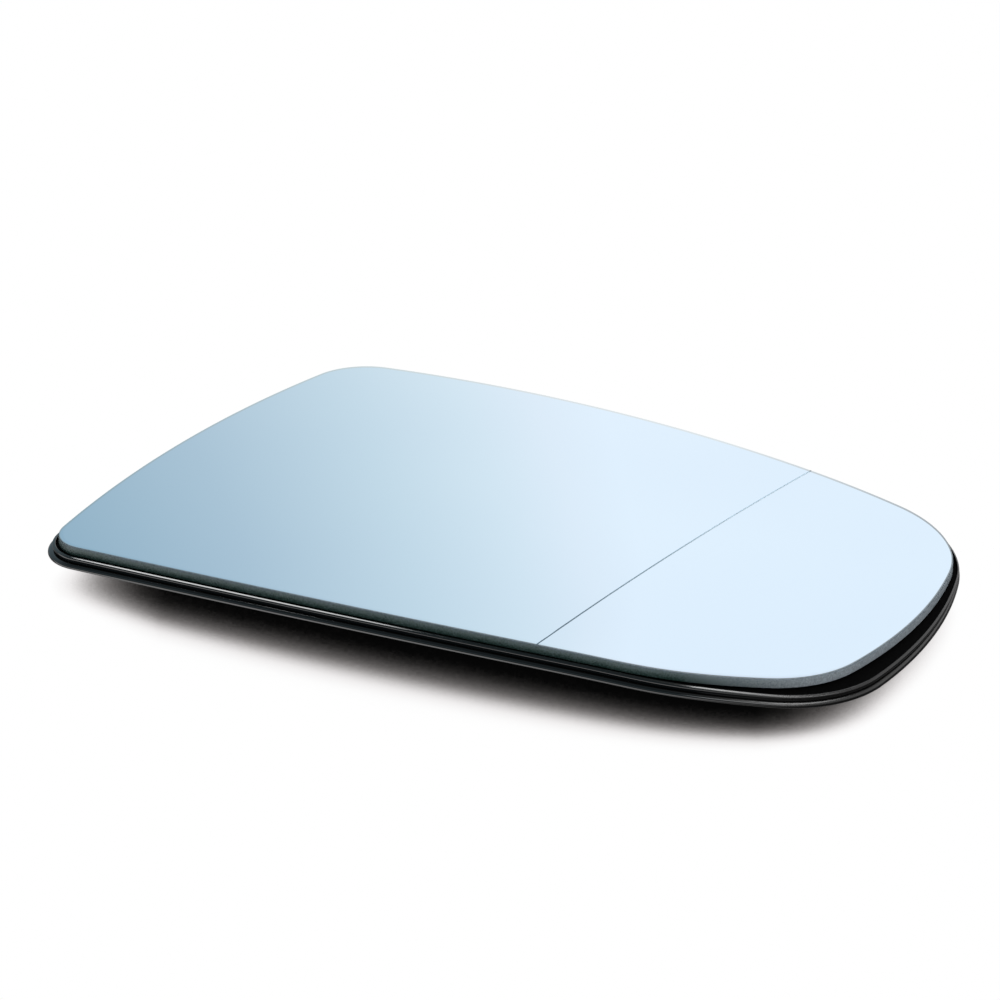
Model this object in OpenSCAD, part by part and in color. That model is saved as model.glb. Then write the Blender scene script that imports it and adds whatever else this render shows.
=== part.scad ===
// Replacement glass for a car door mirror, right way up on its adjuster collar.
// A convex pane with an outer zone of tighter curve is bonded by a heating pad
// to a moulded backing plate, which clips to the mirror adjuster from behind.
// Origin: centre of the collar's end face. +X outboard, +Y to the mirror's top
// edge, +Z out of the reflecting face.

/* [Mirror curve] */
// Radius of curvature of the main zone
main_r = 1250; // [900:10:1800]
// Radius of curvature across the outer zone, beyond the dividing line
outer_zone_r = 600; // [400:10:850]
// Distance of the dividing line from the adjuster axis
line_x = 36; // [20:1:50]
// Width of the dividing line
line_w = 0.4; // [0.2:0.05:0.6]
// Depth of the dividing line
line_depth = 0.12; // [0.06:0.01:0.3]

/* [Outline corners, before rounding, from the adjuster axis] */
// Bottom inner corner, inboard distance
bottom_inner_x = 85; // [78:1:92]
// Bottom inner corner, distance down
bottom_inner_y = 61; // [54:1:68]
// Knee of the bottom edge, outboard distance
knee_x = 62; // [54:1:68]
// Knee of the bottom edge, distance down
knee_y = 43; // [40:1:46]
// Bottom outer corner, outboard distance
bottom_outer_x = 90; // [86:1:96]
// Bottom outer corner, distance down
bottom_outer_y = 24; // [19:1:28]
// Top outer corner, outboard distance
top_outer_x = 78; // [72:1:84]
// Top outer corner, distance up
top_outer_y = 55; // [48:1:62]
// Top inner corner, inboard distance
top_inner_x = 90; // [82:1:96]
// Top inner corner, distance up
top_inner_y = 59; // [52:1:66]

/* [Outline bows, how far each side swells beyond a straight line] */
// Bow of the bottom edge
bottom_bow = 4.5; // [2:0.1:7]
// Bow of the edge between the knee and the bottom outer corner
knee_bow = 1.4; // [0.6:0.1:2]
// Bow of the outer end
outer_bow = 7; // [5:0.1:10]
// Bow of the top edge
top_bow = 7.2; // [4:0.1:10]
// Bow of the inner end
inner_bow = 4.8; // [2:0.1:7]

/* [Outline corner radii] */
// Corner radius at the bottom inner corner
bottom_inner_r = 10; // [6:1:20]
// Corner radius at the knee
knee_r = 68; // [30:1:80]
// Corner radius at the bottom outer corner
bottom_outer_r = 26; // [12:1:34]
// Corner radius at the top outer corner
top_outer_r = 32; // [16:1:44]
// Corner radius at the top inner corner
top_inner_r = 12.5; // [7:0.5:24]

/* [Thicknesses] */
// Thickness of the glass
glass_t = 2.2; // [1.6:0.1:3]
// Thickness of the self-adhesive heating pad, with its adhesive
pad_t = 0.4; // [0.3:0.1:1]
// Adhesive line between the pad and what it joins, on each side
bond_t = 0.05; // [0.02:0.01:0.1]
// Thickness of the backing plate
plate_t = 1.9; // [1.5:0.1:3]
// Margin of bare glass left around the heating pad
pad_margin = 3; // [1.5:0.5:8]

/* [Rim of the backing plate] */
// Gap between the glass and the lip around it
glass_gap = 0.7; // [0.6:0.1:1.2]
// Wall of the lip around the glass
lip_w = 0.8; // [0.6:0.1:1.6]
// Height of the lip above the plate's face
lip_h = 0.75; // [0.4:0.05:1.2]
// Height of the lip's root below the plate's face
lip_root = 0.05; // [0:0.05:0.3]
// Height of the groove under the lip
groove_h = 0.45; // [0.3:0.05:0.6]
// Depth of the groove behind the lip's outer face
groove_depth = 0.6; // [0.3:0.1:0.8]
// Reach of the bead beyond the lip
bead_out = 1; // [0.4:0.1:2]
// Widening of the pocket outboard at the bottom outer corner
pocket_flare_x = 4.1; // [0:0.1:5]
// Widening of the pocket downwards at the bottom outer corner
pocket_flare_y = 0.7; // [0:0.1:2]
// Narrowing of the pocket at the top outer corner
pocket_tuck = 0.4; // [0:0.1:0.5]
// Widening of the bead outboard at the bottom outer corner
bead_flare_x = 3.8; // [0:0.1:5]
// Widening of the bead downwards at the bottom outer corner
bead_flare_y = 0.4; // [0:0.1:2]
// Narrowing of the bead at the top outer corner, where it runs out under the lip
bead_tuck = 2; // [0:0.1:3]

/* [Adjuster collar] */
// Bore of the collar that locates the adjuster's hub
collar_bore_r = 24; // [20:0.5:28]
// Wall of the collar
collar_wall = 2; // [1.4:0.1:3]
// Height of the collar behind the plate
collar_h = 12; // [9:0.5:18]
// Thickness of the flat seat inside the collar
seat_t = 0.8; // [0.4:0.1:2]
// Width of the key slot in the collar
key_w = 5; // [3:0.5:8]
// Depth of the key slot from the collar's end
key_depth = 5; // [3:0.5:7]

/* [Snap hooks] */
// Number of hooks around the collar
hook_count = 6; // [4:1:8]
// Gap between the collar and the hooks, for the adjuster's skirt
skirt_gap = 5; // [4:0.5:7]
// Thickness of a hook
hook_t = 1.6; // [1.2:0.1:2.4]
// Width of a hook
hook_w = 9; // [6:0.5:12]
// Clearance between a hook's tip and the level of the collar's end
hook_rise = 2; // [1:0.5:3]
// Inward reach of a hook's barb
barb_out = 1.3; // [0.8:0.1:2]
// Height of a hook's barb
barb_h = 2.6; // [2:0.1:4]

/* [Ribs behind the plate] */
// Wall of the ribs
rib_w = 1.2; // [0.8:0.1:2]
// Height of the ribs
rib_h = 3; // [1.5:0.5:6]
// Number of radial ribs
rib_count = 10; // [6:1:16]
// Distance of the edge rib inside the glass outline
edge_rib_inset = 7; // [5:0.5:12]
// Gap between the hooks and the ring rib around them
ring_gap = 2.4; // [1.5:0.1:4]

/* [Heating pad terminals] */
// Distance of the terminals from the adjuster axis
terminal_x = 47; // [45:0.5:56]
// Distance between the two terminals
terminal_pitch = 16; // [14:0.5:20]
// Width of a terminal blade
blade_w = 6.3; // [4.8:0.1:6.5]
// Thickness of a terminal blade
blade_t = 0.8; // [0.5:0.1:1]
// Length of a terminal blade behind the pad
blade_h = 9; // [7:0.5:10]
// Width of the foot that joins a blade to the pad
foot_w = 5; // [3:0.5:6]
// Chamfer at the tip of a blade
tip_chamfer = 1; // [0.5:0.1:1.5]
// Hole in a blade that its connector's detent drops into
detent_d = 1.7; // [1.2:0.1:2]
// Distance of that hole from the tip
detent_rise = 3.4; // [2.5:0.1:4]
// Thickness of the foot
foot_t = 0.6; // [0.4:0.1:1]
// Clearance around a foot in its window
window_gap = 1.2; // [0.6:0.1:2]

/* [Hidden] */

// A fine cut overlap, how far a cutter runs past what it cuts, and a length beyond the part
eps = 0.01;
past = 2;
span = 2 * (bottom_outer_x + top_inner_x);

// The longest chord and turn that an outline facet may have, and slices and facet counts
chord_max = 14;
turn_max = 14;
bead_slices = 5;
lip_slices = 3;
curve_sides = 256;
collar_sides = 128;
ring_sides = 96;
hole_sides = 32;

// Levels, measured along the normal from the reflecting face
pad_top = -glass_t;
floor_level = pad_top - pad_t;
lip_top = floor_level + lip_h;
plate_back = floor_level - plate_t;
groove_top = floor_level - lip_root;
bead_top = groove_top - groove_h;
rib_level = plate_back - rib_h;

// The reflecting face's height over the collar's end, and the centre of its main curve
face_z = collar_h - plate_back;
main_centre_z = face_z - main_r;

// Distances out from the pocket's outline
groove_out = lip_w - groove_depth;
bead_edge = lip_w + bead_out;

hook_in_r = collar_bore_r + collar_wall + skirt_gap;
ring_in_r = hook_in_r + hook_t + ring_gap;
hook_sweep = hook_w / hook_in_r * 180 / PI;

// Corners of the glass, of the rim's pocket and of its bead, counter-clockwise from the
// bottom inner one
glass_corners = [
    [-bottom_inner_x, -bottom_inner_y],
    [knee_x, -knee_y],
    [bottom_outer_x, -bottom_outer_y],
    [top_outer_x, top_outer_y],
    [-top_inner_x, top_inner_y]
];
function flared(corners, flare, tuck) = [
    corners[0],
    corners[1],
    corners[2] + flare,
    corners[3] - [tuck, 0],
    corners[4]
];
pocket_corners = flared(glass_corners, [pocket_flare_x, -pocket_flare_y], pocket_tuck);
bead_corners = flared(glass_corners, [bead_flare_x, -bead_flare_y], bead_tuck);
bows = [bottom_bow, knee_bow, outer_bow, top_bow, inner_bow];
radii = [bottom_inner_r, knee_r, bottom_outer_r, top_outer_r, top_inner_r];

// Radius and centre of the arc from p to q that swells by a bow to its right
function arc_r(p, q, bow) = (norm(q - p) ^ 2 / 4 + bow ^ 2) / (2 * bow);
function arc_centre(p, q, bow) =
    let (
        out = [q[1] - p[1], p[0] - q[0]] / norm(q - p)
    )
    (p + q) / 2 - out * (arc_r(p, q, bow) - bow);

// The crossing of two circles that lies nearer to a given point
function crossing(c1, r1, c2, r2, near) =
    let (
        gap = norm(c2 - c1),
        along = (r1 ^ 2 - r2 ^ 2 + gap ^ 2) / (2 * gap),
        across = sqrt(max(r1 ^ 2 - along ^ 2, 0)),
        u = (c2 - c1) / gap,
        v = [-u[1], u[0]],
        a = c1 + along * u + across * v,
        b = c1 + along * u - across * v
    )
    norm(a - near) < norm(b - near) ? a : b;

function bearing(from, to) = atan2(to[1] - from[1], to[0] - from[0]);
function turn(start, end) = (end - start + 720) % 360;
function steps(sweep, r) = max(2, ceil(sweep / turn_max), ceil(sweep * PI / 180 * r / chord_max));

// An outline of bowed sides and rounded corners, moved outwards by grow
function outline(corners, grow) =
    let (
        n = len(corners),
        next = [for (i = [0:n - 1]) (i + 1) % n],
        side_r = [for (i = [0:n - 1]) arc_r(corners[i], corners[next[i]], bows[i])],
        side_c = [for (i = [0:n - 1]) arc_centre(corners[i], corners[next[i]], bows[i])],
        bend_c = [
            for (i = [0:n - 1])
                let (last = (i + n - 1) % n)
                crossing(side_c[last], side_r[last] - radii[i], side_c[i], side_r[i] - radii[i], corners[i])
        ]
    )
    [
        for (i = [0:n - 1])
            let (
                last = (i + n - 1) % n,
                a0 = bearing(side_c[last], bend_c[i]),
                bend = turn(a0, bearing(side_c[i], bend_c[i])),
                s0 = bearing(side_c[i], bend_c[i]),
                side = turn(s0, bearing(side_c[i], bend_c[next[i]])),
                bend_n = steps(bend, radii[i]),
                side_n = steps(side, side_r[i])
            )
            each concat(
                [
                    for (k = [0:bend_n])
                        let (a = a0 + bend * k / bend_n)
                        bend_c[i] + (radii[i] + grow) * [cos(a), sin(a)]
                ],
                [
                    for (k = [1:side_n - 1])
                        let (a = s0 + side * k / side_n)
                        side_c[i] + (side_r[i] + grow) * [cos(a), sin(a)]
                ]
            )
    ];

// Profile of a layer that follows the mirror's curve between two levels, drawn in
// the plane of the turning axis: the main arc, and the tighter arc beyond the line
module curve_profile(low, high) {
    line_a = asin(line_x / main_r);
    outer_c = (main_r - outer_zone_r) * [cos(line_a), sin(line_a)];
    intersection() {
        difference() {
            circle(main_r + high, $fn = curve_sides);
            circle(main_r + low, $fn = curve_sides);
        }
        translate([main_r - span / 2, line_x - span])
            square(span);
    }
    intersection() {
        difference() {
            translate(outer_c)
                circle(outer_zone_r + high, $fn = curve_sides);
            translate(outer_c)
                circle(outer_zone_r + low, $fn = curve_sides);
        }
        translate([main_r - span / 2, line_x])
            square(span);
    }
}

// A wide layer between two levels under the reflecting face
module curve_layer(low, high) {
    sweep = 14;
    translate([0, 0, main_centre_z])
        rotate([0, 90, 0])
            rotate_extrude(angle = sweep, start = 180 - sweep / 2, $fn = curve_sides)
                curve_profile(low, high);
}

// The part of a curved layer inside a flat outline
module curved(low, high) {
    intersection() {
        curve_layer(low, high);
        linear_extrude(face_z + 2 * past)
            children();
    }
}

module glass_outline(grow) {
    polygon(outline(glass_corners, grow));
}

module pocket_outline(grow) {
    polygon(outline(pocket_corners, glass_gap + grow));
}

module bead_outline(grow) {
    polygon(outline(bead_corners, glass_gap + grow));
}

// How far a rounded edge stands out in slice i, as a share of its reach
function swell(i, slices) = sqrt(1 - ((2 * i + 1) / slices - 1) ^ 2);

// The bead, as thin slices of half an ellipse around the foot of the groove
module bead() {
    slice_h = (bead_top - plate_back) / bead_slices;
    for (i = [0:bead_slices - 1])
        curved(plate_back + i * slice_h, plate_back + (i + 1) * slice_h)
            union() {
                pocket_outline(groove_out);
                bead_outline(groove_out + (bead_edge - groove_out) * swell(i, bead_slices));
            }
}

// The lip with its rounded edge, solid across until the pocket is taken out
module lip() {
    slice_h = (lip_top - groove_top) / lip_slices;
    for (i = [0:lip_slices - 1])
        curved(groove_top + i * slice_h, groove_top + (i + 1) * slice_h)
            pocket_outline(groove_out + (lip_w - groove_out) * swell(i, lip_slices));
}

module hook() {
    root = collar_h + plate_t / 2;
    rotate_extrude(angle = hook_sweep, $fn = ring_sides)
        polygon([
            [hook_in_r, root],
            [hook_in_r, hook_rise + barb_h],
            [hook_in_r - barb_out, hook_rise + barb_h],
            [hook_in_r - barb_out, hook_rise + barb_h - barb_out / 2],
            [hook_in_r, hook_rise],
            [hook_in_r + hook_t, hook_rise],
            [hook_in_r + hook_t, root]
        ]);
}

module at_hooks() {
    for (i = [0:hook_count - 1])
        rotate([0, 0, i * 360 / hook_count - hook_sweep / 2])
            children();
}

module at_terminals() {
    for (side = [-1, 1])
        translate([-terminal_x, side * terminal_pitch / 2])
            children();
}

module window_outline(grow) {
    w = foot_w + 2 * (window_gap + grow);
    h = blade_w + 2 * (window_gap + grow);
    square([w, h], center = true);
}

// Flat pattern of the ribs: edge rib, ring rib, radial ribs and the pads around the windows
module rib_pattern() {
    difference() {
        glass_outline(-edge_rib_inset);
        glass_outline(-edge_rib_inset - rib_w);
    }
    difference() {
        circle(ring_in_r + rib_w, $fn = ring_sides);
        circle(ring_in_r, $fn = ring_sides);
    }
    intersection() {
        glass_outline(-edge_rib_inset - rib_w / 2);
        for (i = [0:rib_count - 1])
            rotate((i + 0.5) * 360 / rib_count)
                translate([ring_in_r + rib_w / 2, -rib_w / 2])
                    square([span, rib_w]);
    }
    at_terminals()
        window_outline(rib_w);
}

module mirror_glass() {
    color([0.72, 0.83, 0.9])
        difference() {
            curved(-glass_t, 0)
                glass_outline(0);
            curved(-line_depth, past)
                translate([line_x - line_w / 2, -span / 2])
                    square([line_w, span]);
        }
}

module heating_pad() {
    color([0.16, 0.15, 0.15])
        curved(floor_level + bond_t, pad_top - bond_t)
            glass_outline(-pad_margin);
}

module plate_blank() {
    difference() {
        union() {
            bead();
            curved(bead_top, groove_top)
                pocket_outline(groove_out);
            lip();
        }
        curved(floor_level, past)
            pocket_outline(0);
    }
}

module collar() {
    outer_r = collar_bore_r + collar_wall;
    difference() {
        cylinder(h = collar_h + plate_t / 2, r = outer_r, $fn = collar_sides);
        translate([0, 0, -eps])
            cylinder(h = collar_h - seat_t + eps, r = collar_bore_r, $fn = collar_sides);
        translate([0, -outer_r, 0])
            cube([key_w, 2 * (collar_wall + past), 2 * key_depth], center = true);
    }
}

module backing_plate() {
    color([0.07, 0.07, 0.075])
        difference() {
            union() {
                plate_blank();
                curved(rib_level, plate_back)
                    rib_pattern();
                collar();
                at_hooks()
                    hook();
            }
            at_terminals()
                linear_extrude(face_z)
                    window_outline(0);
            at_hooks()
                translate([0, 0, collar_h - past])
                    rotate_extrude(angle = hook_sweep, $fn = ring_sides)
                        translate([hook_in_r - barb_out, 0])
                            square([barb_out, plate_t + 2 * past]);
        }
}

// Flat pattern of a blade from its tip up into the foot, with the detent's hole
module blade_pattern() {
    half_w = blade_w / 2;
    root = blade_h + foot_t / 2;
    difference() {
        polygon([
            [tip_chamfer - half_w, 0],
            [half_w - tip_chamfer, 0],
            [half_w, tip_chamfer],
            [half_w, root],
            [-half_w, root],
            [-half_w, tip_chamfer]
        ]);
        translate([0, detent_rise])
            circle(d = detent_d, $fn = hole_sides);
    }
}

// A tab terminal: a foot on the pad's back, and a blade standing off it, both
// square to the mirror's curve there
module terminal(side) {
    tilt_x = asin(side * terminal_pitch / 2 / main_r);
    tilt_y = asin(terminal_x / main_r);
    color([0.72, 0.7, 0.66])
        translate([0, 0, main_centre_z])
            rotate([-tilt_x, -tilt_y, 0])
                translate([-foot_w / 2, 0, main_r + floor_level - foot_t - eps]) {
                    translate([0, -blade_w / 2, 0])
                        cube([foot_w, blade_w, foot_t]);
                    translate([0, 0, -blade_h])
                        rotate([90, 0, 90])
                            linear_extrude(blade_t)
                                blade_pattern();
                }
}

module terminal_upper() {
    terminal(1);
}

module terminal_lower() {
    terminal(-1);
}

mirror_glass();
heating_pad();
backing_plate();
terminal_upper();
terminal_lower();
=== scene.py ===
# %% [markdown]
# A replacement glass for a car door mirror. Three things meet in it: a thin convex
# pane with a ground edge, a black moulded plate that carries it, and a heating pad
# between the two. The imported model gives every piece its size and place, and this
# lesson makes the surfaces that the eye reads: the even curve of the pane, the soft
# bead of the rim, and a studio that such a mirror can reflect.

import math

import bpy
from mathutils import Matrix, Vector


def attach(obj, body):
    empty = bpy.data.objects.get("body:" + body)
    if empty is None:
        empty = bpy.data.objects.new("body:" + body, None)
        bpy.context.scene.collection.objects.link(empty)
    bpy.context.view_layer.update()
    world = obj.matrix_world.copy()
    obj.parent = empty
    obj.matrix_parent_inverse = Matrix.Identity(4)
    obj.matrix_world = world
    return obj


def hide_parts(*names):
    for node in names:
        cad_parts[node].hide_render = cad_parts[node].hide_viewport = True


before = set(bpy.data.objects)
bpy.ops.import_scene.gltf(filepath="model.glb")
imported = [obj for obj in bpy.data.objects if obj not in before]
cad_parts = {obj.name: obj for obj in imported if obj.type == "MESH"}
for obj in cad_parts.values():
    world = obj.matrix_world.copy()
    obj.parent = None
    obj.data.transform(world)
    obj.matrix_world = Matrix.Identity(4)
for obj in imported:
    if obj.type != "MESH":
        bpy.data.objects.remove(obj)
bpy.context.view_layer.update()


def mm(value):
    return value / 1000.0


# %% [markdown]
# The camera comes first, because it decides what has to look right. The photograph
# looks down at the pane by about 25 degrees with the outer end nearer. The camera
# could be placed by eye, but a long lens hides small errors, so it is worked out: the
# distance, the height angle and the side angle come from the outline's perspective,
# and a little arithmetic turns pixels per millimetre into a lens.

# %% Camera
IMAGE_PX = 1000
SENSOR_MM = 36.0
PX_PER_MM = 4.601
CAMERA_SIDE = 34.35
CAMERA_HEIGHT = 24.14
CAMERA_DISTANCE = 1124.0
TARGET = (0.0, -8.0, 16.55)
TARGET_PX = (504.2, 530.2)
CLIP_END = 50.0


def camera_axes(side, height):
    """Right, up and forward of a camera turned by side and looking down by height, in degrees."""
    s, h = math.radians(side), math.radians(height)
    right = Vector((math.cos(s), math.sin(s), 0))
    forward = Vector((-math.sin(s) * math.cos(h), math.cos(s) * math.cos(h), -math.sin(h)))
    return right, right.cross(forward), forward


right, up, forward = camera_axes(CAMERA_SIDE, CAMERA_HEIGHT)
half = IMAGE_PX / 2
aim = Vector(TARGET)
aim -= right * ((TARGET_PX[0] - half) / PX_PER_MM)
aim += up * ((TARGET_PX[1] - half) / PX_PER_MM)
camera_data = bpy.data.cameras.new("camera")
camera_data.sensor_width = SENSOR_MM
camera_data.lens = PX_PER_MM * CAMERA_DISTANCE / IMAGE_PX * SENSOR_MM
camera_data.clip_end = CLIP_END
camera = bpy.data.objects.new("camera", camera_data)
bpy.context.scene.collection.objects.link(camera)
camera.location = (aim - forward * CAMERA_DISTANCE) * mm(1)
camera.rotation_euler = forward.to_track_quat("-Z", "Y").to_euler()
bpy.context.scene.camera = camera
print("lens", round(camera_data.lens, 1), "mm, camera at", [round(c, 3) for c in camera.location])

# %% [markdown]
# The pane and the plate share one outline: five bowed sides that run into each other
# through rounded corners. It could be drawn as a curve with handles, but the plate
# needs the same line again and again, a little further out each time. So it is a
# function: the arcs keep their centres, and growing the line only lengthens radii.

# %% Arcs
CORNERS = [(-85, -61), (62, -43), (90, -24), (78, 55), (-90, 59)]
BOWS = [4.5, 1.4, 7.0, 7.2, 4.8]
RADII = [10, 68, 26, 32, 12.5]


def unit(angle):
    """The flat direction at an angle counted from +X towards +Y."""
    return Vector((math.cos(angle), math.sin(angle)))


def side_arc(p, q, bow):
    """Centre and radius of the arc from p to q that swells by bow to its right."""
    p, q = Vector(p), Vector(q)
    chord = (q - p).length
    radius = (chord**2 / 4 + bow**2) / (2 * bow)
    out = Vector((q.y - p.y, p.x - q.x)) / chord
    return (p + q) / 2 - out * (radius - bow), radius


def crossing(c1, r1, c2, r2, near):
    """The crossing of two circles that lies nearer to a point."""
    gap = (c2 - c1).length
    along = (r1**2 - r2**2 + gap**2) / (2 * gap)
    across = math.sqrt(max(r1**2 - along**2, 0))
    u = (c2 - c1) / gap
    v = Vector((-u.y, u.x))
    both = [c1 + along * u + sign * across * v for sign in (1, -1)]
    return min(both, key=lambda p: (p - Vector(near)).length)


def bearing(start, end):
    return math.atan2(end.y - start.y, end.x - start.x)


for p, q, bow in zip(CORNERS, CORNERS[1:] + CORNERS[:1], BOWS):
    print("side of radius", round(side_arc(p, q, bow)[1]), "mm")

# %% Outline of the glass
TURN_STEP = 3.0
CHORD_STEP = 2.5


def outline(corners):
    """Stations along the outline: pairs of a point and the direction straight out of it."""
    n = len(corners)
    sides = [side_arc(corners[i], corners[(i + 1) % n], BOWS[i]) for i in range(n)]
    bends = []
    for i in range(n):
        (c0, r0), (c1, r1) = sides[i - 1], sides[i]
        bends.append(crossing(c0, r0 - RADII[i], c1, r1 - RADII[i], corners[i]))
    stations = []
    for i in range(n):
        before, after = sides[i - 1][0], sides[i][0]
        bend, next_bend = bends[i], bends[(i + 1) % n]
        arcs = [
            (bend, RADII[i], bearing(before, bend), bearing(after, bend)),
            (after, sides[i][1], bearing(after, bend), bearing(after, next_bend)),
        ]
        for centre, radius, start, end in arcs:
            sweep = (end - start) % (2 * math.pi)
            turns = math.ceil(math.degrees(sweep) / TURN_STEP)
            count = max(2, turns, math.ceil(sweep * radius / CHORD_STEP))
            for k in range(count):
                out = unit(start + sweep * k / count)
                stations.append((centre + radius * out, out))
    return stations


GLASS_LINE = outline(CORNERS)
print("outline stations:", len(GLASS_LINE))

# %% [markdown]
# The rim isn't an even border: its pocket and its bead widen at the bottom outer
# corner, and the bead runs out under the lip at the top outer one. Pushing single
# points out would leave dents, so each line has corners of its own and runs through
# the same function. How far the bead lies from the pocket is then measured.

# %% Outlines of the pocket and the bead
POCKET_FLARES = [(0, 0), (0, 0), (4.1, -0.7), (-0.7, 0), (0, 0)]
BEAD_FLARES = [(0, 0), (0, 0), (3.8, -0.4), (-2.5, 0), (0, 0)]
PARALLEL = 1e-9


def flared(flares):
    return outline([(c[0] + f[0], c[1] + f[1]) for c, f in zip(CORNERS, flares)])


def reach_to(line, point, normal, least=-8.0, most=8.0):
    """How far from a point, along a direction, another outline is crossed within a range."""
    best = 0.0
    for (a, _), (b, _) in zip(line, line[1:] + line[:1]):
        side, gap = b - a, a - point
        cross = normal.x * side.y - normal.y * side.x
        if abs(cross) > PARALLEL:
            along = (gap.x * normal.y - gap.y * normal.x) / cross
            reach = (gap.x * side.y - gap.y * side.x) / cross
            if 0 <= along <= 1 and least < reach < most:
                best = reach
    return best


RIM_LINE = flared(POCKET_FLARES)
BEAD_LINE = flared(BEAD_FLARES)
BEAD_SHIFT = [reach_to(BEAD_LINE, point, normal) for point, normal in RIM_LINE]
least, most = round(min(BEAD_SHIFT), 2), round(max(BEAD_SHIFT), 2)
print("the bead's line is", least, "to", most, "mm from the pocket's")

# %% [markdown]
# The reflecting face is a sphere of 1250 mm, and beyond the dividing line its curve
# tightens to 600 mm across, which is what widens the driver's view. A subdivided and
# inflated grid would only look right from one side. The true surface is simple
# enough to write down, so every point asks it for its height.

# %% Height of the mirror's curve
MAIN_R = 1250.0
OUTER_R = 600.0
LINE_X = 36.0
FACE_Z = 16.475
LINE_ANGLE = math.asin(LINE_X / MAIN_R)
OUTER_C = (
    (MAIN_R - OUTER_R) * math.cos(LINE_ANGLE),
    (MAIN_R - OUTER_R) * math.sin(LINE_ANGLE),
)


def curve_z(x, y, level=0.0):
    """Height over the collar's end of the surface that runs level above the reflecting face."""
    if x < LINE_X:
        reach = math.sqrt((MAIN_R + level) ** 2 - x**2)
    else:
        reach = OUTER_C[0] + math.sqrt((OUTER_R + level) ** 2 - (x - OUTER_C[1]) ** 2)
    return FACE_Z - MAIN_R + math.sqrt(reach**2 - y**2)


print("the face falls", round(FACE_Z - curve_z(92, 0), 2), "mm to the outer end")

# %% [markdown]
# Each new piece starts as one of Blender's primitives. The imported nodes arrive
# selected, and an operator acts on all that is selected, so a small helper clears the
# selection first. A grid is the handiest start for anything drawn out along a line:
# its columns become stations along the way and its rows go round the section.

# %% Selecting and editing
WELD = 0.002


def clear_selection():
    for other in bpy.context.selected_objects:
        other.select_set(False)


def select_only(*objects):
    clear_selection()
    for one in objects:
        one.select_set(True)
    bpy.context.view_layer.objects.active = objects[0]


def edit(obj, *steps):
    """Runs edit-mode operators on one object, each with everything selected."""
    select_only(obj)
    bpy.ops.object.mode_set(mode="EDIT")
    for step in steps:
        bpy.ops.mesh.select_all(action="SELECT")
        step()
    bpy.ops.object.mode_set(mode="OBJECT")


def weld():
    bpy.ops.mesh.remove_doubles(threshold=mm(WELD))


def face_outwards():
    bpy.ops.mesh.normals_make_consistent(inside=False)


clear_selection()
print("selected objects:", len(bpy.context.selected_objects))

# %% Rings on a grid
def wrapped_grid(name, rows):
    """A grid whose rows of vertices are laid on rows of points in millimetres."""
    clear_selection()
    columns = len(rows[0]) - 1
    bpy.ops.mesh.primitive_grid_add(x_subdivisions=columns, y_subdivisions=len(rows) - 1, size=1)
    grid = bpy.context.object
    grid.name = grid.data.name = name
    points = [point for row in rows for point in row]
    for vertex, point in zip(grid.data.vertices, points):
        vertex.co = [mm(c) for c in point]
    return grid


def ring(line, out, level, share=1.0):
    """One closed row of points: the line moved out, drawn in to a share of its size, on the curve.

    The distance out is one number, or a list with one for each station."""
    outs = out if isinstance(out, list) else [out] * len(line)
    row = []
    for (point, normal), distance in zip(line + line[:1], outs + outs[:1]):
        x, y = (point + normal * distance) * share
        row.append((x, y, curve_z(x, y, level)))
    return row


def report(obj):
    print(obj.name, len(obj.data.polygons), "faces")


print("points in one ring:", len(ring(GLASS_LINE, 0.0, 0.0)))

# %% [markdown]
# Materials are small trees of nodes. One function turns a hex colour as seen on a
# screen into the linear values that light adds up in, and another adds a node with
# its settings and links, so each material reads as a short list. Every pattern
# follows object coordinates, in metres, so its scale is one over its size.

# %% Material helpers
def colour(code):
    """An sRGB hex colour as linear values."""
    channels = [int(code[i : i + 2], 16) / 255 for i in (0, 2, 4)]
    linear = [c / 12.92 if c <= 0.04045 else ((c + 0.055) / 1.055) ** 2.4 for c in channels]
    return linear + [1.0]


def add(tree, kind, settings=None, **inputs):
    """Adds a node. Settings are its own properties, or the (place, hex) stops of a ramp. An
    input is a value, another node's output, or a node, which stands for its first output."""
    made = tree.nodes.new("ShaderNode" + kind)
    for key, value in (settings or {}).items():
        if key == "stops":
            elements = made.color_ramp.elements
            while len(elements) < len(value):
                elements.new(0.5)
            for element, (place, code) in zip(elements, value):
                element.position = place
                element.color = colour(code)
        else:
            setattr(made, key, value)
    for key, value in inputs.items():
        numbered = key[0] == "n" and key[1:].isdigit()
        socket = made.inputs[int(key[1:]) if numbered else key.replace("_", " ")]
        if isinstance(value, bpy.types.Node):
            value = value.outputs[0]
        if isinstance(value, bpy.types.NodeSocket):
            tree.links.new(value, socket)
        else:
            socket.default_value = value
    return made


def new_material(name):
    """An empty material, its tree, and the object coordinates that its patterns follow."""
    material = bpy.data.materials.new(name)
    material.use_nodes = True
    tree = material.node_tree
    tree.nodes.clear()
    print("material", name)
    return material, tree, add(tree, "TexCoord").outputs["Object"]


# %% [markdown]
# The reflecting face is soda-lime glass with a chromium coat and a blue filter, so it
# mirrors the room and takes a little red out of it. A transparent slab over a mirror
# would show that too, but doubles every edge in the render. A tinted metal, nearly
# without roughness, gives the same reading with one clean reflection.

# %% Mirror coat
HAZE = 60.0

MIRROR_COAT, tree, place = new_material("blue_tinted_mirror_coat_on_float_glass")
haze = add(tree, "TexNoise", Vector=place, Scale=1 / mm(HAZE), Detail=1.0)
tint = add(tree, "ValToRGB", {"stops": [(0.3, "DEF0FF"), (0.7, "DCEEFE")]}, Fac=haze)
shader = add(tree, "BsdfPrincipled", Base_Color=tint, Metallic=1.0, Roughness=0.02)
add(tree, "OutputMaterial", Surface=shader)

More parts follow.
